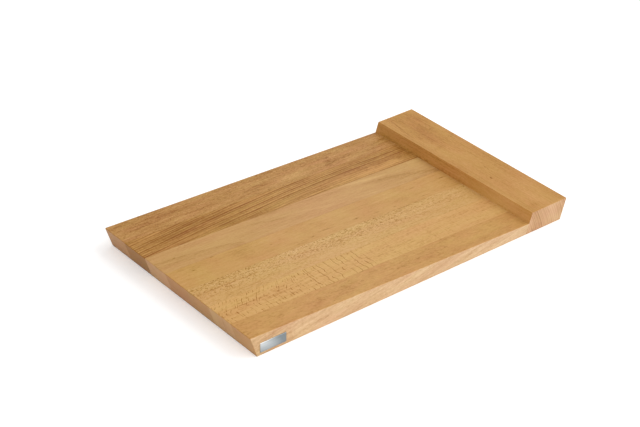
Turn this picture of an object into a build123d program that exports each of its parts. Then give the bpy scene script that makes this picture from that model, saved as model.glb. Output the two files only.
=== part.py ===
from build123d import *
import os
from math import radians, tan

# Beech cutting board in millimetres, +Z up. X runs along the board from its open end to the raised
# end block, the edge with the badge faces -Y, and the origin is the middle of the underside.

# Whole board
board_length = 450.0  # over the top edges of the two leaning ends
board_width = 270.0
board_height = 26.0  # at the open end and over the end block
foot_thickness = 13.0  # of the panel where its slope runs into the end block
end_lean = 18.0  # degrees from upright, of both ends and of the joint with the end block
edge_radius = 0.8  # the outer edges are sanded round to this

# Panel of edge-glued staves, counted from the back edge
stave_width = 39.4  # the front stave is trimmed to what is left

# End block, a bar of parallelogram section with its grain across the board
block_width = 54.0  # level, from the joint to the outer end

# Fluted dowels hidden in the joint, one in the end grain of each stave
dowel_diameter = 6.0
dowel_length = 40.0
dowel_chamfer = 0.8
flute_count = 12
flute_depth = 0.35
flute_sides = 4  # a square on its corner cuts a V
glue_clearance = 0.05  # all round a dowel in its hole
glue_room = 1.0  # past each end of a dowel

# Metal badge, stuck to the front edge near the open end
badge_length = 33.5
badge_height = 11.5
badge_thickness = 0.8
badge_corner_radius = 0.5
badge_bevel = 0.25
badge_setback = 12.3  # from the open end's top edge
badge_rise = 3.9  # over the underside

# Lines of the profile, all leaning by the same angle
lean_share = tan(radians(end_lean))  # travel along X for each unit of height
open_top_x = -board_length / 2
open_bottom_x = open_top_x + board_height * lean_share
outer_top_x = board_length / 2
outer_bottom_x = outer_top_x - board_height * lean_share
joint_bottom_x = outer_bottom_x - block_width
joint_top_x = joint_bottom_x + board_height * lean_share
foot_x = joint_bottom_x + foot_thickness * lean_share

# Stave joints from the back edge to the front edge
stave_count = round(board_width / stave_width)
stave_edges = [board_width / 2 - number * stave_width for number in range(stave_count)]
stave_edges.append(-board_width / 2)
stave_middles = [(back + front) / 2 for back, front in zip(stave_edges, stave_edges[1:])]

# Dowels lie level, half in the panel and half in the end block, in the middle of the thin end
dowel_z = foot_thickness / 2
dowel_middle_x = joint_bottom_x + dowel_z * lean_share
dowel_start_x = dowel_middle_x - dowel_length / 2
hole_radius = dowel_diameter / 2 + glue_clearance
hole_length = dowel_length + 2 * glue_room

os.makedirs("parts", exist_ok=True)


def finish(piece, label):
    """Labels a finished piece and writes its STEP file."""
    piece.part.label = label
    export_step(piece.part, f"parts/{label}.step")


# The glued panel, planed to its slope and eased on every edge but those of the joint
with BuildPart() as panel:
    with BuildSketch(Plane.XZ):
        with BuildLine():
            Polyline(
                (open_bottom_x, 0),
                (joint_bottom_x, 0),
                (foot_x, foot_thickness),
                (open_top_x, board_height),
                close=True,
            )
        make_face()
    extrude(amount=board_width / 2, both=True)
    joint_face = panel.faces().sort_by(Axis.X)[-1]
    fillet(panel.edges() - joint_face.edges(), radius=edge_radius)

# Each stave is the slice of the panel between two glue lines, bored for its dowel
slices = zip(stave_edges, stave_edges[1:], stave_middles)
for number, (back_y, front_y, middle_y) in enumerate(slices, start=1):
    with BuildPart() as stave:
        add(panel.part)
        with BuildSketch(Plane.XY):
            with Locations((0, middle_y)):
                Rectangle(board_length, back_y - front_y)
        extrude(amount=board_height, mode=Mode.INTERSECT)
        with BuildSketch(Plane.YZ.offset(dowel_start_x - glue_room)):
            with Locations((middle_y, dowel_z)):
                Circle(hole_radius)
        extrude(amount=hole_length, mode=Mode.SUBTRACT)
    finish(stave, f"stave_{number}")

# The end block keeps sharp edges where its inner face meets the panel
with BuildPart() as end_block:
    with BuildSketch(Plane.XZ):
        with BuildLine():
            Polyline(
                (joint_bottom_x, 0),
                (outer_bottom_x, 0),
                (outer_top_x, board_height),
                (joint_top_x, board_height),
                close=True,
            )
        make_face()
    extrude(amount=board_width / 2, both=True)
    inner_edges = end_block.faces().sort_by(Axis.X)[0].edges().sort_by(Axis.Z)
    fillet(end_block.edges() - inner_edges[:-1], radius=edge_radius)
    with BuildSketch(Plane.YZ.offset(dowel_start_x - glue_room)):
        with Locations(*[(middle_y, dowel_z) for middle_y in stave_middles]):
            Circle(hole_radius)
    extrude(amount=hole_length, mode=Mode.SUBTRACT)
finish(end_block, "end_block")

# Beech dowel pins with chamfered ends and straight glue flutes
for number, middle_y in enumerate(stave_middles, start=1):
    with BuildPart() as dowel:
        with BuildSketch(Plane.YZ.offset(dowel_start_x)):
            with Locations((middle_y, dowel_z)):
                Circle(dowel_diameter / 2)
        extrude(amount=dowel_length)
        chamfer(dowel.edges().filter_by(GeomType.CIRCLE), length=dowel_chamfer)
        with BuildSketch(Plane.YZ.offset(dowel_start_x)):
            with Locations((middle_y, dowel_z)):
                with PolarLocations(dowel_diameter / 2, flute_count):
                    RegularPolygon(flute_depth, flute_sides)
        extrude(amount=dowel_length, mode=Mode.SUBTRACT)
    finish(dowel, f"dowel_{number}")

# The badge lies flat on the front stave's edge, with its face bevelled all round
with BuildPart() as badge:
    with BuildSketch(Plane.XZ.offset(board_width / 2)):
        with Locations((open_top_x + badge_setback + badge_length / 2, badge_rise + badge_height / 2)):
            RectangleRounded(badge_length, badge_height, badge_corner_radius)
    extrude(amount=badge_thickness)
    chamfer(badge.faces().sort_by(Axis.Y)[0].edges(), length=badge_bevel)
finish(badge, "badge")
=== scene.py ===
from math import atan2, cos, hypot, radians, sin

import bpy
from mathutils import Euler, Matrix, Vector


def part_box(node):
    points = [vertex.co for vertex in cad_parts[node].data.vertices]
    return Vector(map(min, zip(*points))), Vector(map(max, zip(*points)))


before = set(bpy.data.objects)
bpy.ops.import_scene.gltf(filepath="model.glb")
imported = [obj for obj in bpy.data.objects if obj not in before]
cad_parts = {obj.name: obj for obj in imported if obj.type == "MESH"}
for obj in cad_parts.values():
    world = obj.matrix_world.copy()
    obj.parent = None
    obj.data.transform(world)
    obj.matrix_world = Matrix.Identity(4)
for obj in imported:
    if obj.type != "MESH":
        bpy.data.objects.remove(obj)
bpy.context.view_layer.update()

# Stave 1, at the back edge of the glued panel: oiled beech, sawn flat and slightly steamed, so it is golden
# brown and mottled, with soft streaks, short ray dashes and the smudge of one pin knot. Each stave comes
# from a log of its own, so one recipe for beech serves them all, with a cut and a figure for each.
MM = 0.001  # in Blender's metres
glue_lines = (95.6, 56.2, 16.8, -22.6, -62.0, -101.4)  # across the board, from the back


def linear(hex_colour):
    """Turns an sRGB hex colour into the linear RGBA that a shader socket takes."""
    shares = [int(hex_colour[place:place + 2], 16) / 255 for place in (1, 3, 5)]
    light = [share / 12.92 if share <= 0.04045 else ((share + 0.055) / 1.055) ** 2.4 for share in shares]
    return light + [1.0]


def add(tree, kind, inputs, **settings):
    """Adds a node with its settings, links or sets each of its inputs, and returns its outputs."""
    node = tree.nodes.new("ShaderNode" + kind)
    for setting, value in settings.items():
        setattr(node, setting, value)
    for place, value in inputs.items():
        if isinstance(value, bpy.types.NodeSocket):
            tree.links.new(value, node.inputs[place])
        else:
            node.inputs[place].default_value = value
    return node.outputs


def bare_material(name):
    """Starts a material that is named for a real finish, with no nodes yet."""
    material = bpy.data.materials.new(name)
    material.use_nodes = True
    material.node_tree.nodes.clear()
    return material


def dress(nodes, material):
    """Puts one material on every face of some CAD nodes."""
    for node in nodes:
        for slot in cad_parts[node].material_slots:
            slot.material = material


def grain_pattern(tree, vector, length, width, **inputs):
    """Gives a noise drawn out along the grain: its patches have a length on X and a width across it."""
    patch = add(tree, "VectorMath", {0: vector, 1: (1 / length, 1 / width, 1 / width)},
                operation="MULTIPLY")["Vector"]
    return add(tree, "TexNoise", {"Vector": patch, "Scale": 1.0, **inputs})


def growth_rings(tree, radius, clouds, ring, uneven, crisp, steady):
    """Gives rings that darken towards their late wood.

    The radius over the ring width, plus an uneven noise of the seasons, counts the years. The fraction of a
    year, to the power of its crispness, is the darkness. It is multiplied by a strength of that year's own,
    between steady and 1, and is clearer in dark clouds than in pale ones.
    """
    even = add(tree, "Math", {0: radius, 1: ring}, operation="DIVIDE")["Value"]
    season = add(tree, "TexNoise", {"W": even, "Scale": 0.8, "Detail": 0.0}, noise_dimensions="1D")["Fac"]
    year = add(tree, "Math", {0: season, 1: uneven, 2: even}, operation="MULTIPLY_ADD")["Value"]
    growth = add(tree, "Math", {0: year}, operation="FRACT")["Value"]
    late = add(tree, "Math", {0: growth, 1: crisp}, operation="POWER")["Value"]
    which = add(tree, "Math", {0: year}, operation="FLOOR")["Value"]
    strength = add(tree, "TexWhiteNoise", {"W": which}, noise_dimensions="1D")["Value"]
    strength = add(tree, "MapRange", {"Value": strength, "To Min": steady, "To Max": 1.0})["Result"]
    rings = add(tree, "Math", {0: late, 1: strength}, operation="MULTIPLY")["Value"]
    in_pale, in_dark = 0.5, 1.3
    clear = add(tree, "MapRange", {
        "Value": clouds, "From Min": 0.35, "From Max": 0.65, "To Min": in_pale, "To Max": in_dark})["Result"]
    return add(tree, "Math", {0: rings, 1: clear}, operation="MULTIPLY")["Value"]


def ray_flecks(tree, along, around, radius, size, width):
    """Gives the ends of the rays: short dark lines with paler wood between them.

    A line is where a noise passes its middle value, and it is left out where the noise's second colour is
    low. The size is the noise's length along the grain, round the heart and out from it. Real ends are some
    0.2 mm wide, and these are wider so that they show.
    """
    spread = add(tree, "CombineXYZ", {"X": along, "Y": around, "Z": radius})["Vector"]
    spread = add(tree, "VectorMath", {0: spread, 1: [1 / length for length in size]},
                 operation="MULTIPLY")["Vector"]
    weave = add(tree, "TexNoise", {"Vector": spread, "Scale": 1.0, "Detail": 1.0})
    middle = add(tree, "Math", {0: weave["Fac"], 1: 0.5}, operation="PINGPONG")["Value"]
    paler = -0.4
    line = add(tree, "MapRange", {
        "Value": middle, "From Min": 0.5 - width, "From Max": 0.5, "To Min": paler},
        interpolation_type="SMOOTHSTEP")["Result"]
    whole = add(tree, "SeparateColor", {"Color": weave["Color"]})["Green"]
    whole = add(tree, "MapRange", {"Value": whole, "From Min": 0.4, "From Max": 0.6})["Result"]
    return add(tree, "Math", {0: line, 1: whole}, operation="MULTIPLY")["Value"]


def stains(tree, place, grain, marks, glue, foot_shade_depth):
    """Gives the darkness of marks and glue lines on every face, and that of a painted shade at the foot.

    A mark (x, y, half length, half width, turn, amount) is an ellipse, darkest in its middle, or palest
    where the amount is negative. A noise tears its outline, and breaks up a narrow one.
    """
    tear_size, tear_reach, narrow = 4.0, 3.0, 3.0
    glue_half_width, glue_depth = 0.25, 0.12
    foot_shade_top, foot_shade_bottom = 4.0, 0.5
    tears = add(tree, "TexNoise", {"Vector": grain, "Scale": 1 / tear_size, "Detail": 2.0})
    torn = add(tree, "VectorMath", {0: tears["Color"], 1: (0.5, 0.5, 0.5)}, operation="SUBTRACT")["Vector"]
    ragged = add(tree, "VectorMath", {0: torn, 1: [tear_reach * MM] * 3, 2: place},
                 operation="MULTIPLY_ADD")["Vector"]
    broken = add(tree, "MapRange", {
        "Value": tears["Fac"], "From Min": 0.35, "From Max": 0.65, "To Min": 0.2, "To Max": 1.8})["Result"]
    spots = 0.0
    for x, y, half_length, half_width, turn, amount in marks:
        spot = add(tree, "Mapping", {
            "Vector": ragged, "Location": (x * MM, y * MM, 0.0), "Rotation": (0.0, 0.0, radians(turn)),
            "Scale": (half_length * MM, half_width * MM, 1.0)}, vector_type="TEXTURE")["Vector"]
        spot = add(tree, "VectorMath", {0: spot}, operation="LENGTH")["Value"]
        spot = add(tree, "MapRange", {"Value": spot, "From Min": 1.0, "From Max": 0.0, "To Max": amount},
                   interpolation_type="SMOOTHSTEP")["Result"]
        whole = 1.0 if half_width > narrow else broken
        spots = add(tree, "Math", {0: spot, 1: whole, 2: spots}, operation="MULTIPLY_ADD")["Value"]
    across = add(tree, "SeparateXYZ", {"Vector": place})["Y"]
    for line in glue:
        seam = add(tree, "Math", {0: across, 1: line * MM, 2: glue_half_width * MM},
                   operation="COMPARE")["Value"]
        spots = add(tree, "Math", {0: seam, 1: glue_depth, 2: spots}, operation="MULTIPLY_ADD")["Value"]
    # painted shade at the foot of the end grain, darkest at the floor
    level = add(tree, "SeparateXYZ", {"Vector": ragged})["Z"]
    painted_foot_shade = add(tree, "MapRange", {
        "Value": level, "From Min": foot_shade_top * MM, "From Max": foot_shade_bottom * MM, "To Max": foot_shade_depth},
        interpolation_type="SMOOTHSTEP")["Result"]
    return spots, painted_foot_shade


def beech(nodes, name, tones, heart, drift=0.0, dive=0.0, crook=0.0, sway=1.0,
          ring=4.0, uneven=0.8, crisp=2.5, steady=0.4, ring_depth=0.3, end_ring_depth=0.2,
          streak_depth=0.6, pore_depth=0.5, cloud=(120.0, 22.0), cloud_depth=0.4, foot_shade_depth=0.3,
          fleck_size=(5.0, 1.6, 20.0), fleck_width=0.08, fleck_depth=0.1, fleck_fade=(400.0, 500.0),
          fleck_band=(-200.0, -190.0), figure=None, glue=(), marks=(),
          side_tones=("#e0bc90", "#d2a877", "#a87848"), end_tones=("#d3a467", "#c39057", "#905d0e")):
    """Gives CAD nodes solid beech, sawn out of a log whose heart runs through a point (x, y, z).

    The log lies along X, turned by drift about Z and by dive about Y. Its crook is how far it bows over half
    the board, and its sway is a slow noise. A depth is how much a pattern darkens the wood. Flecks fade
    along the grain over fleck_fade and thin out in front of fleck_band. A figure(tree, along, radius) adds
    a darkness of its own. Tones are light, middle and dark. Lengths are in millimetres, turns in degrees.
    """
    wood = bare_material(name)
    tree = wood.node_tree

    # into the log: millimetres along the heart, then outwards to the middle of the piece
    lower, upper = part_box(nodes[0])
    lie = Euler((0.0, radians(dive), radians(drift)))
    outwards = lie.to_matrix().transposed() @ ((lower + upper) / 2 / MM - Vector(heart))
    reach = hypot(outwards.y, outwards.z)
    place = add(tree, "TexCoord", {})["Object"]
    log = add(tree, "Mapping", {
        "Vector": place, "Location": Vector(heart) * MM, "Scale": (MM, MM, MM),
        "Rotation": (atan2(outwards.z, outwards.y), lie.y, lie.z)}, vector_type="TEXTURE")["Vector"]

    # the log grew crooked: a slow noise and a bow over its length bend the whole figure
    half_board, swing = 225.0, 5.0
    bends = grain_pattern(tree, log, 110.0, 40.0, Detail=1.0)["Color"]
    bends = add(tree, "VectorMath", {0: bends, 1: (0.5, 0.5, 0.5)}, operation="SUBTRACT")["Vector"]
    bent = add(tree, "VectorMath", {0: bends, 1: (0.0, swing * sway, swing * sway), 2: log},
               operation="MULTIPLY_ADD")["Vector"]
    along, out, aside = add(tree, "SeparateXYZ", {"Vector": bent})
    bow = add(tree, "Math", {0: along, 1: along}, operation="MULTIPLY")["Value"]
    out = add(tree, "Math", {0: bow, 1: -crook / half_board ** 2, 2: out}, operation="MULTIPLY_ADD")["Value"]
    spoke = add(tree, "CombineXYZ", {"Y": out, "Z": aside})["Vector"]
    radius = add(tree, "VectorMath", {0: spoke}, operation="LENGTH")["Value"]
    angle = add(tree, "Math", {0: aside, 1: out}, operation="ARCTAN2")["Value"]
    around = add(tree, "Math", {0: angle, 1: reach}, operation="MULTIPLY")["Value"]

    # clouds of darker and paler wood with the rings in them, and streaks of fibre, 2.5 mm wide and finer
    clouds = grain_pattern(tree, log, *cloud, Detail=3.0, Roughness=0.55)
    rings = growth_rings(tree, radius, clouds["Fac"], ring, uneven, crisp, steady)
    streaks = grain_pattern(tree, bent, 40.0, 2.5, Detail=5.0, Roughness=0.68)["Fac"]

    # pores, drawn some ten times too large so that they show: dashes along the grain, dots on its ends
    pores = grain_pattern(tree, bent, 4.0, 1.2, Detail=2.0, Roughness=0.6)["Fac"]

    # flecks, which fade to half along the grain and thin out to a third in front of their band
    flecks = ray_flecks(tree, along, around, radius, fleck_size, fleck_width)
    fade = add(tree, "MapRange", {
        "Value": along, "From Min": fleck_fade[0], "From Max": fleck_fade[1],
        "To Min": fleck_depth, "To Max": fleck_depth * 0.5}, interpolation_type="SMOOTHSTEP")["Result"]
    across = add(tree, "SeparateXYZ", {"Vector": place})["Y"]
    band = add(tree, "MapRange", {
        "Value": across, "From Min": fleck_band[0] * MM, "From Max": fleck_band[1] * MM, "To Min": 0.35},
        interpolation_type="SMOOTHSTEP")["Result"]
    fade = add(tree, "Math", {0: fade, 1: band}, operation="MULTIPLY")["Value"]

    # how dark the wood is, 0 to 1 about a plain tone, along the grain and on its ends, with painted shade at
    # the foot
    plain, noise_mean, ring_mean = 0.45, 0.5, 0.3
    end_pore_depth = pore_depth * 0.5
    dark = plain - ring_mean * ring_depth - noise_mean * (streak_depth + cloud_depth + pore_depth)
    for pattern, depth in ((rings, ring_depth), (streaks, streak_depth), (clouds["Fac"], cloud_depth),
                           (pores, pore_depth), (flecks, fade)):
        dark = add(tree, "Math", {0: pattern, 1: depth, 2: dark}, operation="MULTIPLY_ADD")["Value"]
    if figure:
        dark = add(tree, "Math", {0: figure(tree, along, radius), 1: dark}, operation="ADD")["Value"]
    ends = plain - ring_mean * end_ring_depth - noise_mean * (cloud_depth + end_pore_depth)
    for pattern, depth in ((rings, end_ring_depth), (clouds["Fac"], cloud_depth), (pores, end_pore_depth)):
        ends = add(tree, "Math", {0: pattern, 1: depth, 2: ends}, operation="MULTIPLY_ADD")["Value"]
    spots, painted_foot_shade = stains(tree, place, bent, marks, glue, foot_shade_depth)
    dark = add(tree, "Math", {0: dark, 1: spots}, operation="ADD")["Value"]
    ends = add(tree, "Math", {0: ends, 1: spots}, operation="ADD")["Value"]
    ends = add(tree, "Math", {0: ends, 1: painted_foot_shade}, operation="ADD")["Value"]

    # the broad faces are deep with oil, the long edges paler with painted light, and the end grain pinker
    colours = []
    for amount, face_tones in ((dark, tones), (dark, side_tones), (ends, end_tones)):
        toned = add(tree, "ValToRGB", {"Fac": amount})["Color"]
        toned.node.color_ramp.elements.new(0.5)
        for stop, tone in zip(toned.node.color_ramp.elements, face_tones):
            stop.color = linear(tone)
        colours.append(toned)
    colour, side_colour, end_colour = colours
    normal = add(tree, "NewGeometry", {})["Normal"]
    grain_way = (cos(radians(drift)), sin(radians(drift)), 0.0)
    side_way = (-sin(radians(drift)), cos(radians(drift)), 0.0)
    for way, toned in ((side_way, side_colour), (grain_way, end_colour)):
        facing = add(tree, "VectorMath", {0: normal, 1: way}, operation="DOT_PRODUCT")["Value"]
        facing = add(tree, "Math", {0: facing}, operation="ABSOLUTE")["Value"]
        facing = add(tree, "MapRange", {"Value": facing, "From Min": 0.5, "From Max": 0.9})["Result"]
        colour = add(tree, "Mix", {"Factor": facing, 6: colour, 7: toned}, data_type="RGBA")[2]

    # some of the clouds are yellower and some redder
    warmth = add(tree, "SeparateColor", {"Color": clouds["Color"]})["Green"]
    hue = add(tree, "MapRange", {
        "Value": warmth, "From Min": 0.3, "From Max": 0.7, "To Min": 0.494, "To Max": 0.506})["Result"]
    colour = add(tree, "HueSaturation", {"Hue": hue, "Color": colour})["Color"]

    # oil rubbed into the wood gives a dull silk, over fibres and late wood that stand up a little
    rough = add(tree, "MapRange", {"Value": streaks, "To Min": 0.35, "To Max": 0.45})["Result"]
    height = add(tree, "Math", {0: rings, 1: 0.4, 2: streaks}, operation="MULTIPLY_ADD")["Value"]
    bump = add(tree, "Bump", {"Strength": 0.3, "Distance": 0.08 * MM, "Height": height})["Normal"]
    surface = add(tree, "BsdfPrincipled", {
        "Base Color": colour, "Roughness": rough, "Specular IOR Level": 0.12, "Normal": bump})["BSDF"]
    add(tree, "OutputMaterial", {"Surface": surface})
    dress(nodes, wood)


# its marks are smears at the open end, the knot and its smudge, a painted shade by the block and a paler
# middle
beech(
    ["stave_1"], "oiled beech, mottled", tones=("#c9995d", "#af7d40", "#824c00"),
    heart=(0.0, 90.0, -80.0), drift=1.5, ring=4.5, ring_depth=0.2, streak_depth=1.2, pore_depth=0.9,
    cloud=(50.0, 10.0), cloud_depth=0.6, fleck_size=(4.0, 1.8, 20.0), fleck_depth=0.35,
    end_tones=("#c9985e", "#b9834b", "#8a510d"), glue=glue_lines[:1],
    marks=((-135.0, 119.0, 50.0, 5.0, 6.0, 0.2), (-185.0, 115.0, 26.0, 8.0, 0.0, 0.15),
           (71.0, 109.0, 19.0, 8.0, 48.0, 0.3), (76.0, 118.0, 6.0, 4.0, 20.0, 0.35),
           (160.0, 115.0, 14.0, 30.0, 0.0, 0.06), (5.0, 108.0, 55.0, 13.0, 0.0, -0.2)))

# Stave 2: beech sawn across the rings, so dark growth lines some 3.6 mm apart run its whole length. The log
# was bowed, so they climb to the back edge on the left and level out on the right. The left half is darker,
# and a painted shade darkens the stretch by the block.
beech(
    ["stave_2"], "oiled beech, striped", tones=("#c79652", "#a1702e", "#834800"),
    heart=(0.0, -81.0, 0.0), drift=3.6, crook=-10.7, sway=0.8, ring=3.6, uneven=0.7, crisp=2.0,
    ring_depth=0.95, streak_depth=1.2, pore_depth=0.7, cloud=(90.0, 14.0),
    end_tones=("#b68033", "#a36d27", "#774200"), glue=glue_lines[:2],
    marks=((-150.0, 74.0, 120.0, 34.0, 4.0, 0.2), (-30.0, 76.0, 60.0, 30.0, 0.0, -0.1),
           (90.0, 82.0, 90.0, 24.0, 0.0, 0.15), (100.0, 62.0, 60.0, 14.0, 0.0, -0.2),
           (158.0, 78.0, 30.0, 30.0, 0.0, 0.2)))

# Stave 3: a pale, flat-sawn stave of oiled beech. The slope of the board cuts its rings at a shallow angle,
# so a few long sweeps run down to the front, each with one crisp edge, and the wood beside some is bleached.
beech(
    ["stave_3"], "oiled beech, pale", tones=("#cfa568", "#be8f56", "#926314"),
    heart=(0.0, 18.4, 110.9), drift=-0.4, crook=-1.9, sway=0.15, ring=4.95, uneven=0.0, crisp=2.2,
    ring_depth=0.2, streak_depth=0.8, end_tones=("#d9ab72", "#c99662", "#946111"), glue=glue_lines[1:3],
    marks=((-199.0, 38.0, 4.0, 1.2, 0.0, 0.4), (75.0, 51.0, 60.0, 4.0, -8.0, -0.4),
           (122.0, 34.0, 55.0, 11.0, -12.0, 0.12), (-185.0, 54.0, 40.0, 2.5, 0.0, -0.2),
           (-69.0, 41.0, 35.0, 3.5, -12.0, 0.2), (-6.0, 32.0, 35.0, 4.0, -12.0, -0.2),
           # the pale patch by the block is painted light, which lifts the block's shadow on this stave
           (160.0, 46.0, 24.0, 16.0, 0.0, -0.2)))

# Stave 4: plain, slightly yellow beech, cut well away from the heart, so it has hardly any figure. Short
# dark dashes lie along its grain in loose groups.
beech(
    ["stave_4"], "oiled beech, plain", tones=("#d0a365", "#c19150", "#936111"),
    heart=(0.0, 20.0, -140.0), drift=1.0, ring=6.0, ring_depth=0.1, streak_depth=0.7,
    cloud=(40.0, 30.0), end_tones=("#cb9759", "#bc844b", "#8a560b"), glue=glue_lines[2:4],
    marks=((-143.0, 2.0, 36.0, 20.0, 0.0, 0.1), (-164.0, 16.0, 4.0, 1.2, 0.0, 0.5),
           (-196.0, 5.0, 4.0, 1.0, 0.0, 0.3), (-27.0, -11.0, 18.0, 1.2, 0.0, 0.3),
           (15.0, -12.0, 6.0, 2.0, 0.0, 0.5), (157.0, 3.0, 9.0, 1.2, 0.0, 0.4),
           (-96.0, -1.0, 5.0, 1.2, 0.0, 0.3), (-82.0, 2.0, 4.0, 1.2, 0.0, 0.3),
           (-90.0, -6.0, 4.0, 1.2, 0.0, 0.25), (-48.0, -14.0, 6.0, 1.2, 0.0, 0.3),
           (44.0, -15.0, 7.0, 1.2, 0.0, 0.3), (69.0, -17.0, 6.0, 1.2, 0.0, 0.3),
           (113.0, -17.0, 14.0, 1.3, 0.0, 0.3), (112.0, 4.0, 7.0, 1.2, 0.0, 0.3)))

# Stave 5: flat-sawn beech. The saw cut the rays end on, so its back half is dense with their ends, fine
# flecks of 1 mm by 4 mm that fade towards the block.
beech(
    ["stave_5"], "oiled beech, fine fleck", tones=("#d7ae76", "#c79959", "#935d00"),
    heart=(0.0, -42.0, -140.0), drift=-1.0, ring=6.0, ring_depth=0.1, streak_depth=0.7, pore_depth=0.8,
    fleck_size=(4.5, 1.3, 24.0), fleck_width=0.1, fleck_depth=0.65, fleck_fade=(-20.0, 160.0),
    fleck_band=(-52.0, -38.0), end_tones=("#ce9e5c", "#be8b4e", "#8c590c"), glue=glue_lines[3:5],
    marks=((83.0, -23.5, 46.0, 1.2, 0.0, 0.3), (-165.0, -37.5, 62.0, 1.2, 0.0, 0.3)))

# Stave 6: quarter-sawn beech. The saw ran along the rays, so they show as thin flakes across the grain, one
# in every few millimetres. They reach from side to side left of the middle, are short dashes at the open
# end, and all but fade away towards the block.


def flakes(tree, along, radius):
    """Gives dark thin lines across the grain, one at a random place in each step along it.

    Long flakes and short dashes are two sets with different steps. Each line wavers with a slow noise, comes
    and goes along its length with a noise of its own, and leans in the stave's back half at the open end.
    """
    half_width = 0.5  # a ray is 0.2 mm thick or less, and is drawn coarser so that it shows
    middle_radius = 218.0  # of the stave, from the heart of its log
    leaning, upright, lean_share = -135.0, -95.0, -0.7  # where along the grain the lines lean, and how much
    waver_size, waver_reach = 11.0, 6.5
    margin = 0.15  # of a step, kept clear at both its ends
    apart, soft_ends = 7.3, 0.13  # of the noise that breaks up each line
    faint = 0.08  # what is left of the lines where they have faded
    sets = ((8.0, 16.0, -66.0, 32.0, 46.0, 0.36, 1.0), (5.0, 5.0, -165.0, 60.0, 85.0, 0.46, 0.9))
    back_half = add(tree, "Math", {0: radius, 1: middle_radius}, operation="SUBTRACT")["Value"]
    back_half = add(tree, "Math", {0: back_half, 1: 0.0}, operation="MAXIMUM")["Value"]
    lean = add(tree, "MapRange", {
        "Value": along, "From Min": leaning, "From Max": upright,
        "To Min": lean_share, "To Max": 0.0})["Result"]
    straight = add(tree, "Math", {0: back_half, 1: lean, 2: along}, operation="MULTIPLY_ADD")["Value"]
    waver = add(tree, "CombineXYZ", {"X": along, "Y": radius})["Vector"]
    waver = add(tree, "TexNoise", {"Vector": waver, "Scale": 1 / waver_size, "Detail": 1.5})["Fac"]
    straight = add(tree, "Math", {0: waver, 1: waver_reach, 2: straight}, operation="MULTIPLY_ADD")["Value"]
    dark = 0.0
    for step, length, centre, full_reach, fade_reach, gaps, depth in sets:
        steps = add(tree, "Math", {0: straight, 1: step}, operation="DIVIDE")["Value"]
        which = add(tree, "Math", {0: steps}, operation="FLOOR")["Value"]
        inside = add(tree, "Math", {0: steps}, operation="FRACT")["Value"]
        spot = add(tree, "TexWhiteNoise", {"W": which}, noise_dimensions="1D")["Value"]
        spot = add(tree, "MapRange", {"Value": spot, "To Min": margin, "To Max": 1 - margin})["Result"]
        away = add(tree, "Math", {0: inside, 1: spot}, operation="SUBTRACT")["Value"]
        away = add(tree, "Math", {0: away}, operation="ABSOLUTE")["Value"]
        line = add(tree, "MapRange", {"Value": away, "From Min": half_width / step, "From Max": 0.0},
                   interpolation_type="SMOOTHSTEP")["Result"]
        lengthwise = add(tree, "Math", {0: radius, 1: length}, operation="DIVIDE")["Value"]
        own = add(tree, "Math", {0: which, 1: apart}, operation="MULTIPLY")["Value"]
        pieces = add(tree, "CombineXYZ", {"X": own, "Y": lengthwise, "Z": step})["Vector"]
        pieces = add(tree, "TexNoise", {"Vector": pieces, "Scale": 1.0, "Detail": 1.0})["Fac"]
        pieces = add(tree, "MapRange", {
            "Value": pieces, "From Min": gaps, "From Max": gaps + soft_ends})["Result"]
        flake = add(tree, "Math", {0: line, 1: pieces}, operation="MULTIPLY")["Value"]
        off = add(tree, "Math", {0: along, 1: centre}, operation="SUBTRACT")["Value"]
        off = add(tree, "Math", {0: off}, operation="ABSOLUTE")["Value"]
        strength = add(tree, "MapRange", {
            "Value": off, "From Min": fade_reach, "From Max": full_reach, "To Min": faint, "To Max": depth},
            interpolation_type="SMOOTHSTEP")["Result"]
        dark = add(tree, "Math", {0: flake, 1: strength, 2: dark}, operation="MULTIPLY_ADD")["Value"]
    return dark


beech(
    ["stave_6"], "oiled beech, quarter-sawn", tones=("#daaf71", "#cb9c5b", "#955d00"),
    heart=(0.0, -300.0, 20.0), drift=0.5, ring=5.0, ring_depth=0.1, streak_depth=0.7, pore_depth=0.7,
    cloud_depth=0.3, figure=flakes, end_tones=("#d8af74", "#c89a61", "#946411"), glue=glue_lines[4:],
    marks=((-164.0, -79.6, 62.0, 1.3, 0.0, 0.3), (1.0, -78.6, 17.0, 1.2, 0.0, 0.3)))

# Stave 7, at the front edge and trimmed to the board's width: plain orange-brown beech with a few dashes.
# Its planed edge is the palest face of the board, given paler tones that paint in the strong light on it,
# with fine lines that climb along it because the log was sawn at a slant.
beech(
    ["stave_7"], "oiled beech, front", tones=("#d1a060", "#bf8e4f", "#915a07"),
    heart=(0.0, -100.0, -90.0), drift=-1.0, dive=-11.0, ring=3.5, crisp=3.0, ring_depth=0.06,
    streak_depth=1.0, pore_depth=0.7, cloud=(60.0, 14.0),
    side_tones=("#eacaa1", "#d0aa7f", "#a97a4e"), end_tones=("#d2a261", "#c28e53", "#8f5c0d"),
    glue=glue_lines[5:],
    marks=((-88.0, -118.0, 26.0, 14.0, 0.0, 0.12), (41.0, -116.0, 30.0, 14.0, 0.0, 0.12),
           (150.0, -135.0, 110.0, 6.0, 0.0, -0.15), (-190.0, -135.0, 60.0, 5.0, 0.0, 0.15),
           (100.0, -116.0, 80.0, 18.0, 0.0, -0.12), (-62.0, -117.0, 8.0, 1.3, 0.0, 0.3),
           (-13.0, -120.0, 7.0, 1.3, 0.0, 0.3), (17.0, -117.0, 9.0, 1.3, 0.0, 0.3),
           (55.0, -117.0, 11.0, 1.3, 0.0, 0.3), (108.0, -120.0, 9.0, 1.3, 0.0, 0.3)))
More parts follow.
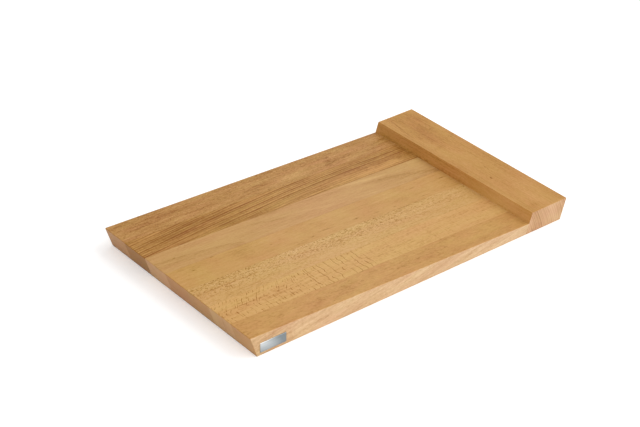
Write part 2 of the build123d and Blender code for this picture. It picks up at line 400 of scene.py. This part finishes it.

# The end block: one bar of oiled beech with its grain across the board, glued and dowelled to the staves'
# ends. Its rings stand nearly upright, so fine lines run along its top, and its front end shows them edge
# on. Its back half is darker, its front half paler, and a thin painted shade lines its foot.
beech(
    ["end_block"], "oiled beech, end block", tones=("#d19f61", "#bc8947", "#8a5100"),
    heart=(97.0, 0.0, -22.0), drift=90.0, ring=2.9, crisp=1.6, steady=0.7, ring_depth=0.15,
    end_ring_depth=0.5, cloud=(60.0, 20.0), cloud_depth=0.3, foot_shade_depth=0.1,
    fleck_size=(6.0, 1.6, 20.0), fleck_depth=0.12,
    # the sides' more orange tones paint in the warm light the wood throws onto the inner face
    side_tones=("#d5a261", "#c18a43", "#824f17"), end_tones=("#dfb88f", "#c4966c", "#78451d"),
    marks=((181.3, 106.0, 30.0, 1.6, 82.4, 0.25), (185.0, 41.0, 16.0, 6.0, 0.0, 0.12),
           (185.0, -124.0, 14.0, 8.0, 0.0, 0.15), (187.4, -49.0, 5.0, 1.8, 90.0, 0.4),
           (198.7, -29.0, 9.0, 1.6, 80.0, 0.3), (209.0, 82.5, 2.5, 2.0, 0.0, 0.35),
           (168.0, 80.0, 90.0, 7.0, 90.0, 0.05), (168.0, -95.0, 100.0, 7.0, 90.0, -0.3),
           # the thin mark at x 166.8 on the next line is painted shade along the inner face's foot
           (200.0, 100.0, 34.0, 80.0, 0.0, 0.2), (166.8, 40.0, 1.0, 110.0, 0.0, 0.25),
           (170.0, 84.0, 4.0, 22.0, 0.0, -0.1), (200.0, -100.0, 34.0, 80.0, 0.0, -0.2),
           (195.0, 135.0, 60.0, 3.0, 0.0, -0.25), (210.0, -135.0, 22.0, 4.0, 0.0, -0.15)))

# Seven fluted dowels of raw beech, without oil and so paler, glued into the staves' ends and the block. They
# are out of sight in the finished board.
dowel_tones = ("#dcbf92", "#d2b080", "#b48a58")
beech(
    [f"dowel_{number}" for number in range(1, 8)], "raw beech, fluted dowel", tones=dowel_tones,
    side_tones=dowel_tones, heart=(0.0, 40.0, -30.0), ring=2.0)

# The badge: a small bare plate of brushed stainless steel with a bevelled edge, stuck to the front edge. The
# brush ran along the plate, which draws out its highlight from end to end, and a highlight is painted round
# one corner, fading to grey away from it. Real strokes are some 0.05 mm wide, and are drawn 0.3 mm wide so
# that they show.
steel = bare_material("brushed stainless steel")
tree = steel.node_tree
place = add(tree, "TexCoord", {})["Object"]
brush = grain_pattern(tree, place, 25 * MM, 0.3 * MM, Detail=3.0)["Fac"]
# a painted highlight round the plate's top left corner, which fades to grey away from it
painted_highlight = add(tree, "Mapping", {
    "Vector": place, "Location": (-212 * MM, 0.0, 15 * MM), "Rotation": (0.0, radians(20.0), 0.0),
    "Scale": (36 * MM, 1.0, 14 * MM)}, vector_type="TEXTURE")["Vector"]
painted_highlight = add(tree, "VectorMath", {0: painted_highlight}, operation="LENGTH")["Value"]
strokes_and_highlight = add(tree, "Math", {0: brush, 1: 0.35, 2: painted_highlight}, operation="MULTIPLY_ADD")["Value"]
shade = add(tree, "ValToRGB", {"Fac": strokes_and_highlight})["Color"]
for stop, tone in zip(shade.node.color_ramp.elements, ("#dfe3e4", "#80888c")):
    stop.color = linear(tone)
rough = add(tree, "MapRange", {"Value": brush, "To Min": 0.28, "To Max": 0.45})["Result"]
bump = add(tree, "Bump", {"Strength": 0.2, "Distance": 0.02 * MM, "Height": brush})["Normal"]
surface = add(tree, "BsdfPrincipled", {
    "Base Color": shade, "Metallic": 1.0, "Roughness": rough, "Normal": bump})["BSDF"]
add(tree, "OutputMaterial", {"Surface": surface})
dress(["badge"], steel)

# The floor: a wide sheet of matt white paper a hair below the board, which keeps its shadow. Seen by the
# camera and in reflections it glows a little, so that it is as white as the background.


def seen(tree):
    """Gives 1 for rays from the camera, in reflections and through glass, and 0 for light on the board."""
    path = add(tree, "LightPath", {})
    ray = add(tree, "Math", {0: path["Is Camera Ray"], 1: path["Is Glossy Ray"]},
              operation="MAXIMUM")["Value"]
    return add(tree, "Math", {0: ray, 1: path["Is Transmission Ray"]}, operation="MAXIMUM")["Value"]


floor_half, floor_level = 4.0, -0.2 * MM
corners = [(x * floor_half, y * floor_half, floor_level) for x, y in ((-1, -1), (1, -1), (1, 1), (-1, 1))]
sheet = bpy.data.meshes.new("floor")
sheet.from_pydata(corners, [], [(0, 1, 2, 3)])
floor = bpy.data.objects.new("floor", sheet)
bpy.context.scene.collection.objects.link(floor)
paper = bare_material("matt white paper")
tree = paper.node_tree
glow = add(tree, "Math", {0: seen(tree), 1: 0.35}, operation="MULTIPLY")["Value"]
surface = add(tree, "BsdfPrincipled", {
    "Base Color": linear("#f2f2f2"), "Roughness": 0.9, "Specular IOR Level": 0.0,
    "Emission Color": linear("#ffffff"), "Emission Strength": glow})["BSDF"]
add(tree, "OutputMaterial", {"Surface": surface})
floor.data.materials.append(paper)

# Studio light: an even white surround, a large soft box in front of the board, a wide ceiling light from the
# front right, and a small strip light behind the block that gives its top and the slope a low sheen.
world = bpy.data.worlds.new("white studio")
bpy.context.scene.world = world
world.use_nodes = True
tree = world.node_tree
tree.nodes.clear()
level = add(tree, "MapRange", {"Value": seen(tree), "To Min": 0.6, "To Max": 1.0})["Result"]
backdrop = add(tree, "Background", {"Color": linear("#ffffff"), "Strength": level})["Background"]
add(tree, "OutputWorld", {"Surface": backdrop})


def hang(name, kind, place, **settings):
    """Hangs a lamp at a place in metres and aims it at the middle of the board."""
    light = bpy.data.lights.new(name, kind)
    for setting, value in settings.items():
        setattr(light, setting, value)
    lamp = bpy.data.objects.new(name, light)
    lamp.location = place
    lamp.rotation_euler = (-lamp.location).to_track_quat("-Z", "Y").to_euler()
    bpy.context.scene.collection.objects.link(lamp)


hang("soft box", "AREA", (-0.25, -0.9, 0.6), shape="SQUARE", size=0.8, energy=3.4)
hang("wide ceiling light", "SUN", (0.62, -0.42, 0.66), energy=1.05, angle=radians(45.0))
hang("strip light", "AREA", (0.317, 0.353, 0.36), shape="SQUARE", size=0.2, energy=0.3)

# The camera stands where the photograph was taken from: off the front left corner, some 2.1 m away, looking
# down on the board through a long lens.
azimuth, elevation, roll = radians(-38.596), radians(31.622), radians(0.266)
distance = 2146.87 * MM
target = Vector((8.07, 44.47, 0.0)) * MM
back = Vector((sin(azimuth) * cos(elevation), -cos(azimuth) * cos(elevation), sin(elevation)))
right = Vector((cos(azimuth), sin(azimuth), 0.0))
up = back.cross(right)
right, up = cos(roll) * right + sin(roll) * up, cos(roll) * up - sin(roll) * right
turn = Matrix((right, up, back)).transposed().to_4x4()
lens = bpy.data.cameras.new("camera")
lens.lens = 104.99
lens.sensor_width = 36.0
lens.clip_end = 50.0
camera = bpy.data.objects.new("camera", lens)
camera.matrix_world = Matrix.Translation(target + back * distance) @ turn
bpy.context.scene.collection.objects.link(camera)
bpy.context.scene.camera = camera
bpy.context.scene.view_settings.view_transform = "Standard"
